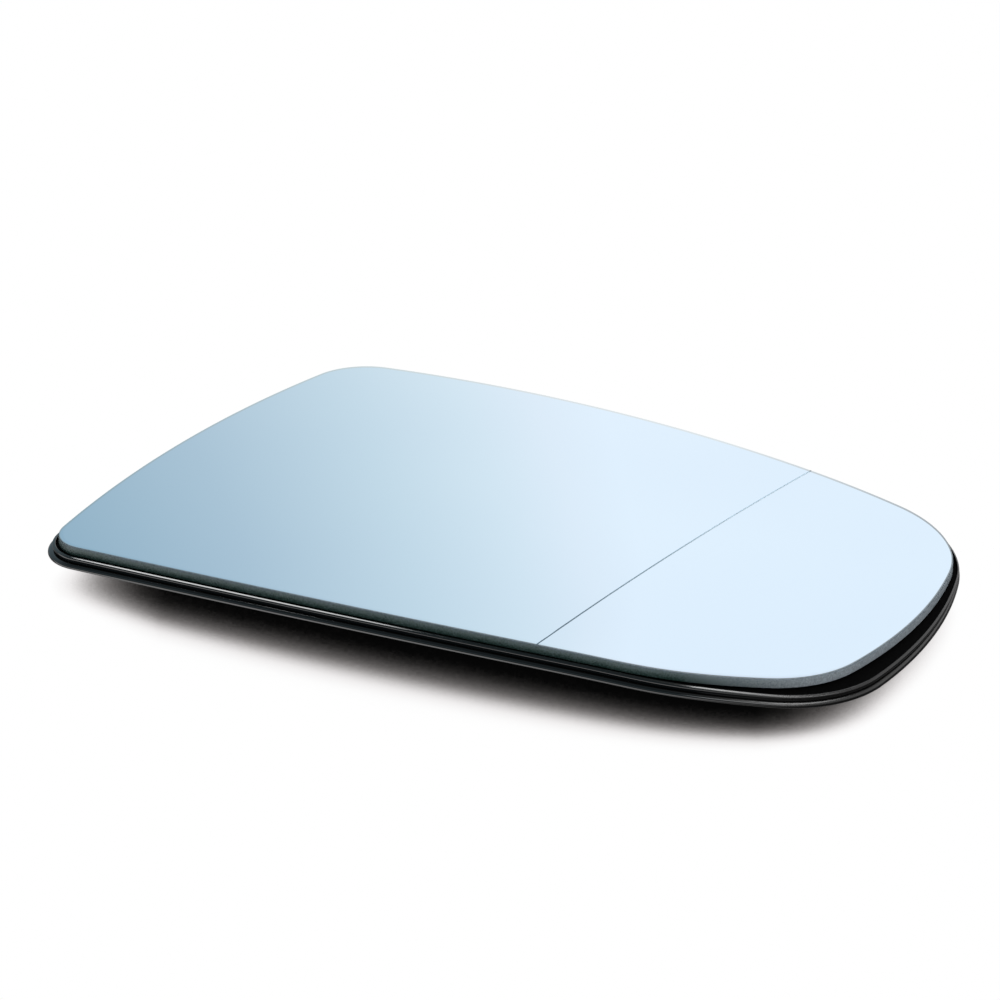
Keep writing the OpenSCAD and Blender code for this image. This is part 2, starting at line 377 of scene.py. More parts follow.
# %% [markdown]
# The edge of the pane is ground on a stone wheel. It isn't clear any more: it is a
# grey-green, painted pale blue-grey near the face and darker deeper down, a painted
# shade. Round the tight outer corner a painted highlight makes it paler.
# The grit is about a tenth of a millimetre, drawn coarser here so that it shows. How
# deep a point lies is an attribute of the mesh, because the band follows the curve.
# Grit and streaks shift that depth, so the band has no sharp border.

# %% Ground glass edge
GRIT = 0.35
STREAK = 5.0
GRIT_SHIFT = 5.0
STREAK_SHIFT = 0.9
SHADE_START_DEPTH = 2.65
SHADE_FULL_DEPTH = 5.15
GROUND_RELIEF = 0.04
CORNER_HIGHLIGHT_START = 66.0
CORNER_HIGHLIGHT_END = 88.0

GROUND_EDGE, tree, place = new_material("ground_float_glass_edge")
grit = add(tree, "TexNoise", Vector=place, Scale=1 / mm(GRIT), Detail=4.0)
streaks = add(tree, "TexNoise", Vector=place, Scale=1 / mm(STREAK), Detail=3.0)
depth = add(tree, "Attribute", {"attribute_name": "depth_mm"}).outputs["Fac"]
uneven = add(tree, "Math", {"operation": "MULTIPLY_ADD"}, n0=streaks, n1=STREAK_SHIFT, n2=depth)
level = add(tree, "Math", {"operation": "MULTIPLY_ADD"}, n0=grit, n1=GRIT_SHIFT, n2=uneven)
# Painted shade: the edge's tone darkens from the face towards the back.
band = add(tree, "MapRange", Value=level, From_Min=SHADE_START_DEPTH, From_Max=SHADE_FULL_DEPTH)
edge_shade_stops = [(0.0, "56656D"), (0.5, "475A58"), (1.0, "1C3630")]
green = add(tree, "ValToRGB", {"stops": edge_shade_stops}, Fac=band)
# Painted highlight: the edge turns paler round the outer corner.
outboard = add(tree, "SeparateXYZ", Vector=place).outputs["X"]
corner_highlight = add(tree, "MapRange", Value=outboard, From_Min=mm(CORNER_HIGHLIGHT_START), From_Max=mm(CORNER_HIGHLIGHT_END))
pale = add(tree, "ValToRGB", {"stops": [(0.3, "7A858D"), (0.7, "B4BEC5")]}, Fac=grit)
tone = add(tree, "Mix", {"data_type": "RGBA"}, Factor=corner_highlight, n6=green, n7=pale).outputs[2]
relief = add(tree, "Bump", Height=grit, Distance=mm(GROUND_RELIEF), Strength=1.0)
shader = add(tree, "BsdfPrincipled", Base_Color=tone, Roughness=0.45, IOR=1.52, Normal=relief)
add(tree, "OutputMaterial", Surface=shader)

# %% [markdown]
# Between the ground edge and the face lie two thin lines. The arris is the small
# bevel that a stone rubs along the edge, and it is matt and pale grey. Beside it the
# coat ends in a margin: the same metal, less bright, and darker towards the outer end.
# One pattern over the whole pane could fake both, but as finishes of their own strips
# they keep their width on every side.

# %% Arris and margin of the coat
STONE_GRIT = 0.4
MARGIN_GRAIN = 0.8
MARGIN_UNEVEN = 0.1
MARGIN_BRIGHT_X = 10.0
MARGIN_DARK_X = 85.0

ARRIS_BAND, tree, place = new_material("stoned_glass_arris")
grit = add(tree, "TexNoise", Vector=place, Scale=1 / mm(STONE_GRIT), Detail=3.0)
tone = add(tree, "ValToRGB", {"stops": [(0.3, "4E5A62"), (0.7, "74808A")]}, Fac=grit)
shader = add(tree, "BsdfPrincipled", Base_Color=tone, Roughness=0.5, IOR=1.52)
add(tree, "OutputMaterial", Surface=shader)

EDGE_COAT, tree, place = new_material("mirror_coat_margin")
grain = add(tree, "TexNoise", Vector=place, Scale=1 / mm(MARGIN_GRAIN), Detail=2.0)
outboard = add(tree, "SeparateXYZ", Vector=place).outputs["X"]
darkened = add(
    tree, "MapRange", Value=outboard, From_Min=mm(MARGIN_BRIGHT_X), From_Max=mm(MARGIN_DARK_X)
)
mixed = add(tree, "Math", {"operation": "MULTIPLY_ADD"}, n0=grain, n1=MARGIN_UNEVEN, n2=darkened)
margin_stops = [(0.1, "DAE3E8"), (0.6, "B8C2C9"), (1.0, "8E979D")]
tone = add(tree, "ValToRGB", {"stops": margin_stops}, Fac=mixed)
shader = add(tree, "BsdfPrincipled", Base_Color=tone, Metallic=1.0, Roughness=0.12)
add(tree, "OutputMaterial", Surface=shader)

# %% [markdown]
# At the dividing line the coat is cut away. The cut's tone is painted darker towards
# the bottom edge and paler towards the top, a painted reflection that changes along Y.
# The back of the glass has a grey lacquer that protects the coat: a plain matt grey
# with a faint mottle is enough, as the pad hides nearly all of it.

# %% Etched line and back lacquer
ETCH_GRAIN = 0.6
ETCH_UNEVEN = 0.05
ETCH_DARK_REFLECTION_Y = -45.0
ETCH_PALE_REFLECTION_Y = 30.0
LACQUER_GRAIN = 1.5

ETCHED_LINE, tree, place = new_material("etched_glass_line")
grain = add(tree, "TexNoise", Vector=place, Scale=1 / mm(ETCH_GRAIN), Detail=3.0)
upward = add(tree, "SeparateXYZ", Vector=place).outputs["Y"]
# Painted reflection: the line's tone runs from dark at the bottom edge to pale at the top.
painted_reflection = add(tree, "MapRange", Value=upward, From_Min=mm(ETCH_DARK_REFLECTION_Y), From_Max=mm(ETCH_PALE_REFLECTION_Y))
mixed = add(tree, "Math", {"operation": "MULTIPLY_ADD"}, n0=grain, n1=ETCH_UNEVEN, n2=painted_reflection)
etch_reflection_stops = [(0.1, "64747E"), (0.6, "98A8B0"), (1.0, "C4D2D9")]
tone = add(tree, "ValToRGB", {"stops": etch_reflection_stops}, Fac=mixed)
shader = add(tree, "BsdfPrincipled", Base_Color=tone, Metallic=0.7, Roughness=0.35)
add(tree, "OutputMaterial", Surface=shader)

BACK_LACQUER, tree, place = new_material("grey_back_lacquer")
grain = add(tree, "TexNoise", Vector=place, Scale=1 / mm(LACQUER_GRAIN), Detail=2.0)
tone = add(tree, "ValToRGB", {"stops": [(0.3, "3A3E40"), (0.7, "44484A")]}, Fac=grain)
shader = add(tree, "BsdfPrincipled", Base_Color=tone, Roughness=0.55)
add(tree, "OutputMaterial", Surface=shader)

# %% [markdown]
# The plate is injection-moulded ABS. The rim comes out of a polished part of the
# mould and shines, a little less at the outer end; the pocket, where the pad's edge
# lies, is dull all over. Both are so black that the tone hardly matters, and only
# roughness tells them apart. The polish has a haze finer than a pixel, drawn at
# 0.8 mm so that it shows, and long, shallow waves where the plastic shrank.

# %% Polished and matt black ABS
ABS_IOR = 1.54
SINK_WAVES = 14.0
POLISH_GRAIN = 0.8
POLISH_RELIEF = 0.02
WORN_START = 70.0
WORN_END = 88.0
WORN_ROUGHNESS = 0.2
POCKET_GRAIN = 0.6

GLOSSY_ABS, tree, place = new_material("black_abs_polished_mould")
waves = add(tree, "TexNoise", Vector=place, Scale=1 / mm(SINK_WAVES), Detail=2.0)
fine = add(tree, "TexNoise", Vector=place, Scale=1 / mm(POLISH_GRAIN), Detail=3.0)
polish = add(tree, "MapRange", Value=fine, To_Min=0.05, To_Max=0.11)
outboard = add(tree, "SeparateXYZ", Vector=place).outputs["X"]
worn = add(
    tree,
    "MapRange",
    Value=outboard,
    From_Min=mm(WORN_START),
    From_Max=mm(WORN_END),
    To_Max=WORN_ROUGHNESS,
)
rough = add(tree, "Math", {"operation": "ADD"}, n0=polish, n1=worn)
tone = add(tree, "ValToRGB", {"stops": [(0.3, "030303"), (0.7, "050505")]}, Fac=waves)
relief = add(tree, "Bump", Height=waves, Distance=mm(POLISH_RELIEF), Strength=1.0)
shader = add(
    tree, "BsdfPrincipled", Base_Color=tone, Roughness=rough, IOR=ABS_IOR, Normal=relief
)
add(tree, "OutputMaterial", Surface=shader)

POCKET_ABS, tree, place = new_material("black_abs_matt_pocket")
grain = add(tree, "TexNoise", Vector=place, Scale=1 / mm(POCKET_GRAIN), Detail=2.0)
tone = add(tree, "ValToRGB", {"stops": [(0.3, "020202"), (0.7, "050505")]}, Fac=grain)
shader = add(tree, "BsdfPrincipled", Base_Color=tone, Roughness=0.7, Specular_IOR_Level=0.015)
add(tree, "OutputMaterial", Surface=shader)

# %% [markdown]
# The back of the plate comes out of a spark-eroded half of the mould. Its grain is
# fine and dull, and the plastic flowed along it in long, faint clouds. A plain rough
# black would hide the ribs, so it is a dark grey with a shallow bump. The grain is a
# few hundredths of a millimetre in life, drawn at 0.45 mm so that it shows.

# %% Grained black ABS
EROSION_GRAIN = 0.45
EROSION_RELIEF = 0.03
FLOW_CLOUDS = 22.0
FLOW_STRETCH = (1, 0.4, 1)

GRAINED_ABS, tree, place = new_material("black_abs_spark_eroded_grain")
grain = add(tree, "TexNoise", Vector=place, Scale=1 / mm(EROSION_GRAIN), Detail=3.0)
stretched = add(tree, "Mapping", Vector=place, Scale=FLOW_STRETCH)
flow = add(tree, "TexNoise", Vector=stretched, Scale=1 / mm(FLOW_CLOUDS), Detail=2.0)
tone = add(tree, "ValToRGB", {"stops": [(0.3, "343435"), (0.7, "3E3E3F")]}, Fac=flow)
rough = add(tree, "MapRange", Value=flow, To_Min=0.42, To_Max=0.56)
relief = add(tree, "Bump", Height=grain, Distance=mm(EROSION_RELIEF), Strength=1.0)
shader = add(
    tree, "BsdfPrincipled", Base_Color=tone, Roughness=rough, IOR=ABS_IOR, Normal=relief
)
add(tree, "OutputMaterial", Surface=shader)

# %% [markdown]
# Two small finishes close the list. The polyester film of the heating pad is nearly
# black and silky, with the faint bands of its printed conductor. Its tabs are
# tin-plated brass: a bright, warm grey, with dull scratches along their length, drawn
# coarser than they are. A wave texture repeats every 0.314 of a unit at a scale of
# one, so its scale is that over the pitch of the tracks.

# %% Film and tin plate
WAVE_PERIOD = 0.314
TRACK_PITCH = 4.0
SCRATCH = 0.5
SCRATCH_STRETCH = (1, 1, 0.08)

HEATER_FILM, tree, place = new_material("printed_polyester_heater_film")
track_scale = WAVE_PERIOD / mm(TRACK_PITCH)
tracks = add(tree, "TexWave", {"bands_direction": "Y"}, Vector=place, Scale=track_scale)
printed = tracks.outputs["Fac"]
tone = add(tree, "ValToRGB", {"stops": [(0.45, "1A1A1B"), (0.6, "343231")]}, Fac=printed)
shader = add(tree, "BsdfPrincipled", Base_Color=tone, Roughness=0.5)
add(tree, "OutputMaterial", Surface=shader)

TIN_PLATE, tree, place = new_material("tin_plated_brass_stamped")
stretched = add(tree, "Mapping", Vector=place, Scale=SCRATCH_STRETCH)
scratches = add(tree, "TexNoise", Vector=stretched, Scale=1 / mm(SCRATCH), Detail=2.0)
rough = add(tree, "MapRange", Value=scratches, To_Min=0.22, To_Max=0.42)
tone = add(tree, "ValToRGB", {"stops": [(0.3, "B9B4A8"), (0.7, "D2CDC2")]}, Fac=scratches)
shader = add(tree, "BsdfPrincipled", Base_Color=tone, Metallic=1.0, Roughness=rough)
add(tree, "OutputMaterial", Surface=shader)

# %% [markdown]
# The pane. A circle filled with triangles would pucker in a reflection, so the grid's
# rows are laid as rings that shrink towards the middle: near the edge they follow the
# outline, further in they are smaller copies of it. Between the face and the arris
# the coat has a thin, duller margin, in the photograph wider along the top edge.
# Below it come the arris, the ground edge, the lower arris and the back. Levels are
# counted up from the reflecting face, so all that lies behind it is negative.

# %% Glass pane
GLASS_T = 2.2
ARRIS = 0.16
MARGIN_LEAST = 0.2
MARGIN_EXTRA = 0.85
MARGIN_BEARING = 124.35
FACE_SHARES = [0.0, 0.04, 0.1, 0.18, 0.27, 0.36, 0.45, 0.54, 0.63, 0.72, 0.8, 0.87, 0.93, 0.97]
FACE_SHARES.append(1.0)
FACE_EDGE = -1.2

widest = unit(math.radians(MARGIN_BEARING))
margins = [
    -ARRIS - MARGIN_LEAST - MARGIN_EXTRA * max(0.0, normal.dot(widest)) for _, normal in GLASS_LINE
]
# Pairs of out and level, from the margin to the back; the last hundredths soften corners.
edge_section = [
    (margins, 0.0),
    (-ARRIS, -0.012),
    (-0.03, -ARRIS + 0.03),
    (0.0, -ARRIS - 0.04),
    (0.0, -GLASS_T + ARRIS + 0.04),
    (-0.03, -GLASS_T + ARRIS - 0.03),
    (-ARRIS, -GLASS_T + 0.008),
    (-ARRIS - 0.06, -GLASS_T),
]
face_rows = [ring(GLASS_LINE, FACE_EDGE, 0, share) for share in FACE_SHARES]
edge_rows = [ring(GLASS_LINE, out, level) for out, level in edge_section]
back_rows = [ring(GLASS_LINE, FACE_EDGE, -GLASS_T, share) for share in reversed(FACE_SHARES)]
pane = wrapped_grid("mirror_pane", face_rows + edge_rows + back_rows)
report(pane)

# %% Finishes of the pane's strips
ARRIS_STRIPS = 3


def pane_finish(strip):
    """The finish of a strip of faces, counted from the coat's margin out and down."""
    if strip < 0:
        return MIRROR_COAT
    if strip == 0:
        return EDGE_COAT
    if strip < ARRIS_STRIPS:
        return ARRIS_BAND
    return GROUND_EDGE if strip < len(edge_rows) - 1 else BACK_LACQUER


pane_finishes = [MIRROR_COAT, GROUND_EDGE, ETCHED_LINE, BACK_LACQUER, ARRIS_BAND, EDGE_COAT]
for material in pane_finishes:
    pane.data.materials.append(material)
for index, face in enumerate(pane.data.polygons):
    strip = index // len(GLASS_LINE) - len(face_rows)
    face.material_index = pane_finishes.index(pane_finish(strip))
depths = pane.data.attributes.new("depth_mm", "FLOAT", "POINT")
for vertex, slot in zip(pane.data.vertices, depths.data):
    x, y, z = (1000 * c for c in vertex.co)
    slot.value = curve_z(x, y) - z
edit(pane, weld, face_outwards)
report(pane)

# %% [markdown]
# The dividing line is a shallow groove. It could be a dark stripe in the coat's
# material, but a real step catches the light along one side. So it is cut by the
# bisect tool on both sides of its width, and the strip between is pushed down.

# %% Dividing line
LINE_W = 0.4
LINE_DEPTH = 0.12
LEVEL_FACE = 0.99


def cut_at(x):
    bpy.ops.mesh.bisect(plane_co=(mm(x), 0, 0), plane_no=(1, 0, 0))


def pick_faces(obj, wanted):
    """In edit mode, selects only the faces for which wanted is true."""
    bpy.ops.mesh.select_all(action="DESELECT")
    bpy.ops.object.mode_set(mode="OBJECT")
    for face in obj.data.polygons:
        face.select = wanted(face)
    bpy.ops.object.mode_set(mode="EDIT")


def on_line(face):
    return abs(face.center.x - mm(LINE_X)) < mm(LINE_W / 2) and face.normal.z > LEVEL_FACE


def sink_line():
    pick_faces(pane, on_line)
    bpy.ops.mesh.extrude_region_move(TRANSFORM_OT_translate={"value": (0, 0, -mm(LINE_DEPTH))})


def smooth(obj, angle):
    select_only(obj)
    bpy.ops.object.shade_smooth_by_angle(angle=math.radians(angle))


edit(pane, lambda: cut_at(LINE_X - LINE_W / 2), lambda: cut_at(LINE_X + LINE_W / 2))
for face in pane.data.polygons:
    if on_line(face):
        face.material_index = pane_finishes.index(ETCHED_LINE)
edit(pane, sink_line)
smooth(pane, 20)
report(pane)

# %% [markdown]
# The plate's rim is one section drawn out round the outline: a floor that the glass
# lies on, a thin lip around it, a groove, and a fat bead that hides the cut of the
# housing. A rounded bar could be laid on a flat plate, but the real one has a single
# skin, so the whole section is one list of points. The lip's top is a narrow sloping
# land, not a half round: it is the land that catches a lamp as one even streak.

# %% Levels of the rim
PAD_T = 0.4
PLATE_T = 1.9
GLASS_GAP = 0.7
LIP_W = 0.8
LIP_H = 0.75
LIP_ROOT = 0.05
GROOVE_H = 0.45
GROOVE_DEPTH = 0.6
BEAD_OUT = 0.98
FLOOR = -GLASS_T - PAD_T
PLATE_BACK = FLOOR - PLATE_T
LIP_TOP = FLOOR + LIP_H
GROOVE_TOP = FLOOR - LIP_ROOT
BEAD_TOP = GROOVE_TOP - GROOVE_H
GROOVE_OUT = LIP_W - GROOVE_DEPTH
print("lip", round(LIP_TOP - GROOVE_TOP, 2), "and bead", round(BEAD_TOP - PLATE_BACK, 2), "mm high")

# %% Section of the rim
BEAD_FULLNESS = 2.5
BEAD_STEPS = 16
LEAST_REACH = 0.25
LIP_CORE = 0.3
LIP_STEPS = 14
LAND_START = 0.2
LAND_SLOPE = 0.27


def bulge(centre_out, reach, top, foot, count):
    """Points down the outside of a bead: a superellipse from its top to its foot."""
    points = []
    for k in range(count + 1):
        angle = math.pi / 2 - math.pi * k / count
        c, s = abs(math.cos(angle)), abs(math.sin(angle))
        out = centre_out + reach * c ** (2 / BEAD_FULLNESS)
        half_height = (top - foot) / 2
        level = (top + foot) / 2 + math.copysign(half_height * s ** (2 / BEAD_FULLNESS), angle)
        points.append((out, level))
    return points


def under_land(out, level):
    """A point of the lip, lowered to the sloping land where it would stand above it."""
    return out, min(level, LIP_TOP - LAND_SLOPE * (out - LAND_START))


# Pairs of out and level, from the pocket over the lip into the groove.
rim_section = [
    (-0.4, FLOOR),
    (-0.12, FLOOR + 0.03),
    (0.0, FLOOR + 0.15),
    (0.0, LIP_TOP - 0.14),
    (0.05, LIP_TOP - 0.04),
    (0.15, LIP_TOP),
]
lip_section = bulge(LIP_CORE, LIP_W - LIP_CORE, LIP_TOP, GROOVE_TOP, LIP_STEPS)
rim_section += [under_land(out, level) for out, level in lip_section]
rim_section += [
    (GROOVE_OUT + 0.02, GROOVE_TOP - 0.08),
    (GROOVE_OUT, (GROOVE_TOP + BEAD_TOP) / 2),
]
# The bead's section is drawn one millimetre wide, and each station has a reach of its own.
bead_section = bulge(0.0, 1.0, BEAD_TOP, PLATE_BACK, BEAD_STEPS)
bead_reach = LIP_W + BEAD_OUT - GROOVE_OUT
bead_reaches = [max(bead_reach + shift, LEAST_REACH) for shift in BEAD_SHIFT]
print("rim section points:", len(rim_section) + len(bead_section))

# %% [markdown]
# Inside the rim the plate is a web of even thickness. It could be a flat disc bent
# with a modifier, but then it would only nearly follow the glass. The same rings as
# in the pane close it in the middle, on its face and on its back. Toward the outer
# end the photograph shows a thinner lip, so there its section is narrowed.

# %% Plate web with its rim
WEB_EDGE = -6.0
WEB_SHARES = [0.0, 0.15, 0.35, 0.55, 0.75, 0.9, 1.0]
THIN_BEARING = 34.35
THIN_SHARE = 0.5
THIN_FOCUS = 6
POCKET_STRIPS = 3
BACK_FACE = -0.97

thin_way = unit(math.radians(THIN_BEARING))
thinness = [max(0.0, normal.dot(thin_way)) ** THIN_FOCUS for _, normal in RIM_LINE]
lip_shares = [1 - THIN_SHARE * thin for thin in thinness]
web_rows = [ring(RIM_LINE, GLASS_GAP + WEB_EDGE, FLOOR, share) for share in WEB_SHARES]
rim_rows = []
for out, level in rim_section:
    rim_rows.append(ring(RIM_LINE, [GLASS_GAP + out * share for share in lip_shares], level))
for share, level in bead_section:
    outs = [GLASS_GAP + GROOVE_OUT + reach * share for reach in bead_reaches]
    rim_rows.append(ring(RIM_LINE, outs, level))
under_rows = [
    ring(RIM_LINE, GLASS_GAP + WEB_EDGE, PLATE_BACK, share) for share in reversed(WEB_SHARES)
]
plate = wrapped_grid("backing_plate_moulding", web_rows + rim_rows + under_rows)
plate_finishes = [GLOSSY_ABS, GRAINED_ABS, POCKET_ABS]
for material in plate_finishes:
    plate.data.materials.append(material)
for index, face in enumerate(plate.data.polygons):
    strip = index // len(RIM_LINE) - len(web_rows)
    finish = POCKET_ABS if strip < POCKET_STRIPS else GLOSSY_ABS
    face.material_index = plate_finishes.index(finish)
edit(plate, weld, face_outwards)
for face in plate.data.polygons:
    if face.normal.z < BACK_FACE:
        face.material_index = plate_finishes.index(GRAINED_ABS)
report(plate)

# %% [markdown]
# The plate has openings: two windows for the tabs, and six slots where the mould's
# cores pass to shape the hooks' barbs. Faces could be deleted and the walls bridged
# by hand, but the openings don't follow the rings. So a solid of each opening's shape
# is made and taken out with a Boolean modifier.

# %% Tools that cut
def box(name, centre, size):
    """A cube primitive at its size and place, in millimetres, with both applied."""
    clear_selection()
    place, scale = [mm(c) for c in centre], [mm(s) for s in size]
    bpy.ops.mesh.primitive_cube_add(size=1, location=place, scale=scale)
    made = bpy.context.object
    made.name = made.data.name = name
    bpy.ops.object.transform_apply(location=True, rotation=True, scale=True)
    return made


def cap_ends():
    bpy.ops.mesh.select_all(action="DESELECT")
    bpy.ops.mesh.select_non_manifold(extend=False)
    bpy.ops.mesh.edge_face_add()


def turned_section(name, points, sweep, start, steps):
    """A section of (radius, height) pairs in millimetres, spun about the upright and closed."""
    angles = [start + sweep * k / steps for k in range(steps + 1)]
    rows = [[(r * math.cos(a), r * math.sin(a), z) for a in angles] for r, z in points + points[:1]]
    made = wrapped_grid(name, rows)
    edit(made, weld)
    edit(made, cap_ends)
    edit(made, face_outwards)
    return made


def apply_modifiers(obj):
    select_only(obj)
    for modifier in list(obj.modifiers):
        bpy.ops.object.modifier_apply(modifier=modifier.name)


def cut(obj, cutters):
    """Takes the cutters out of the object and removes them."""
    select_only(*cutters)
    if len(cutters) > 1:
        bpy.ops.object.join()
    tool = bpy.context.view_layer.objects.active
    modifier = obj.modifiers.new("windows", "BOOLEAN")
    modifier.operation = "DIFFERENCE"
    modifier.solver = "EXACT"
    modifier.object = tool
    apply_modifiers(obj)
    bpy.data.objects.remove(tool)


print("faces of the plate before it is cut:", len(plate.data.polygons))

# %% Windows and slots in the web
TERMINAL_X = 47.0
TERMINAL_PITCH = 16.0
BLADE_W = 6.3
FOOT_W = 5.0
WINDOW_GAP = 1.2
WINDOW_CUT_H = 10.0
COLLAR_R = 24.0
COLLAR_WALL = 2.0
COLLAR_H = 12.0
SKIRT_GAP = 5.0
HOOKS = 6
HOOK_W = 9.0
BARB_OUT = 1.3
HOOK_R = COLLAR_R + COLLAR_WALL + SKIRT_GAP
HOOK_SWEEP = HOOK_W / HOOK_R
SLOT_FOOT = COLLAR_H - 1
SLOT_HEAD = COLLAR_H + 3
SLOT_STEPS = 8

window_h = BLADE_W + 2 * WINDOW_GAP
window_w = FOOT_W + 2 * WINDOW_GAP
window_centres = [(-TERMINAL_X, side * TERMINAL_PITCH / 2) for side in (-1, 1)]
inner, outer = HOOK_R - BARB_OUT, HOOK_R
slot = [(inner, SLOT_FOOT), (outer, SLOT_FOOT), (outer, SLOT_HEAD), (inner, SLOT_HEAD)]
window_size = (window_w, window_h, WINDOW_CUT_H)
tools = [box("cutter", (x, y, COLLAR_H), window_size) for x, y in window_centres]
for i in range(HOOKS):
    start = 2 * math.pi * i / HOOKS - HOOK_SWEEP / 2
    tools.append(turned_section("cutter", slot, HOOK_SWEEP, start, SLOT_STEPS))
cut(plate, tools)
report(plate)

# %% [markdown]
# Behind the plate stand ribs: one near the edge, one ring around the hooks, ten that
# run out from it, and a frame around each window. Each could be a primitive of its
# own, but they all are the same thin section with soft corners, drawn out along
# different flat paths, so one function makes them.

# %% Section and sweep of a rib
RIB_W = 1.2
RIB_H = 3.0
RIB_SOFT = 0.25
RIB_DRAFT = 0.04
RIB_ROOT = 0.3
RIB_LEVEL = PLATE_BACK - RIB_H

# Half of a thin wall, from inside the plate over a small fillet to its soft lower corner.
half_rib = RIB_W / 2
half_wall = [
    (half_rib + 0.45, PLATE_BACK + RIB_ROOT),
    (half_rib + 0.4, PLATE_BACK - 0.02),
    (half_rib + 0.15, PLATE_BACK - 0.12),
    (half_rib, PLATE_BACK - 0.4),
    (half_rib - RIB_DRAFT, RIB_LEVEL + RIB_SOFT),
    (half_rib - RIB_DRAFT - RIB_SOFT * 0.3, RIB_LEVEL + RIB_SOFT * 0.3),
    (half_rib - RIB_DRAFT - RIB_SOFT, RIB_LEVEL),
]
rib_section = half_wall + [(-out, level) for out, level in reversed(half_wall)]


def sweep(name, stations, section, closed=True):
    """Draws a section of (out, level) pairs along flat stations, following the mirror's curve."""
    stations = stations + stations[:1] if closed else stations
    rows = []
    for out, level in section + section[:1]:
        flat = [point + normal * out for point, normal in stations]
        rows.append([(x, y, curve_z(x, y, level)) for x, y in flat])
    made = wrapped_grid(name, rows)
    edit(made, weld)
    if not closed:
        edit(made, cap_ends)
    edit(made, face_outwards)
    return made


print("rib section points:", len(rib_section))

# %% Paths of the ribs
def circle_line(radius, count=120):
    outs = [unit(2 * math.pi * k / count) for k in range(count)]
    return [(out * radius, out) for out in outs]


def straight_line(start, end, count=24):
    start, end = Vector(start), Vector(end)
    along = (end - start).normalized()
    normal = Vector((along.y, -along.x))
    return [(start.lerp(end, k / count), normal) for k in range(count + 1)]


def rounded_box_line(centre, w, h, radius, count=6):
    """Stations round a box with rounded corners, on its outside line."""
    stations = []
    for i, (sx, sy) in enumerate([(1, 1), (-1, 1), (-1, -1), (1, -1)]):
        corner = Vector(centre) + Vector((sx * (w / 2 - radius), sy * (h / 2 - radius)))
        for k in range(count + 1):
            out = unit(math.pi / 2 * (i + k / count))
            stations.append((corner + radius * out, out))
    return stations


print("stations round a ring:", len(circle_line(1.0)))

# %% Ribs
RIBS = 10
EDGE_RIB_INSET = 7.0
HOOK_T = 1.6
RING_GAP = 2.4
RING_R = HOOK_R + HOOK_T + RING_GAP
FRAME_CORNER = RIB_W / 2 + 0.3
BEYOND = 200.0

edge_line = [(point - normal * (EDGE_RIB_INSET + half_rib), normal) for point, normal in GLASS_LINE]
ring_middle = RING_R + half_rib
parts = [
    sweep("edge_rib", edge_line, rib_section),
    sweep("ring_rib", circle_line(ring_middle), rib_section),
]
for i in range(RIBS):
    way = unit(2 * math.pi * (i + 0.5) / RIBS)
    far = reach_to(edge_line, Vector((0, 0)), way, 0.0, BEYOND)
    spoke = straight_line(way * ring_middle, way * far)
    parts.append(sweep("radial_rib", spoke, rib_section, closed=False))
frame_wall = [(max(out, -half_rib), level) for out, level in rib_section]
for centre in window_centres:
    around = rounded_box_line(centre, window_w + RIB_W, window_h + RIB_W, FRAME_CORNER)
    parts.append(sweep("window_frame", around, frame_wall))
print("ribs and frames:", len(parts))

# %% [markdown]
# The collar is pushed over the adjuster's hub. It could be spun like the hooks, but a
# cylinder is quicker: it is hollowed by insetting its end face and pushing the inner
# face up to the seat. A key slot is cut in its wall, and a bevel rounds all that a
# mould would round.

# %% Collar
COLLAR_SIDES = 144
COLLAR_SOFT = 0.25
SEAT_T = 0.8
KEY_W = 5.0
KEY_DEPTH = 5.0
KEY_OVER = 2.0
END_FACE = -0.9
IN_PLATE = COLLAR_H + PLATE_T / 2


def soften_edges(obj, width, segments, angle=40):
    """Rounds every edge that is sharper than the angle, as a mould does."""
    bevel = obj.modifiers.new("soft edges", "BEVEL")
    bevel.width = mm(width)
    bevel.segments = segments
    bevel.limit_method = "ANGLE"
    bevel.angle_limit = math.radians(angle)
    bevel.use_clamp_overlap = True
    apply_modifiers(obj)


def hollow_collar():
    pick_faces(collar, lambda face: face.normal.z < END_FACE)
    bpy.ops.mesh.inset(thickness=mm(COLLAR_WALL), depth=0)
    bpy.ops.mesh.extrude_region_move(
        TRANSFORM_OT_translate={"value": (0, 0, mm(COLLAR_H - SEAT_T))}
    )


clear_selection()
bpy.ops.mesh.primitive_cylinder_add(
    vertices=COLLAR_SIDES,
    radius=mm(COLLAR_R + COLLAR_WALL),
    depth=mm(IN_PLATE),
    location=(0, 0, mm(IN_PLATE / 2)),
)
collar = bpy.context.object
collar.name = collar.data.name = "collar"
bpy.ops.object.transform_apply(location=True, rotation=True, scale=True)
edit(collar, hollow_collar)
edit(collar, face_outwards)
key_centre = (0, -(COLLAR_R + COLLAR_WALL / 2), 0)
cut(collar, [box("cutter", key_centre, (KEY_W, 2 * COLLAR_WALL + KEY_OVER, 2 * KEY_DEPTH))])
soften_edges(collar, COLLAR_SOFT, 3)
parts.append(collar)
report(collar)

# %% [markdown]
# Six snap hooks grip the adjuster's skirt. Modelled one by one they would differ, so
# one section, barb included, is spun through the width of a hook, softened, and
# copied round the axis, each copy with its own mesh. All that stands behind the plate
# is then joined to it, because the real one is a single moulding.

# %% Hooks
HOOK_RISE = 2.0
HOOK_STEPS = 10
HOOK_SOFT = 0.18
BARB_H = 2.6

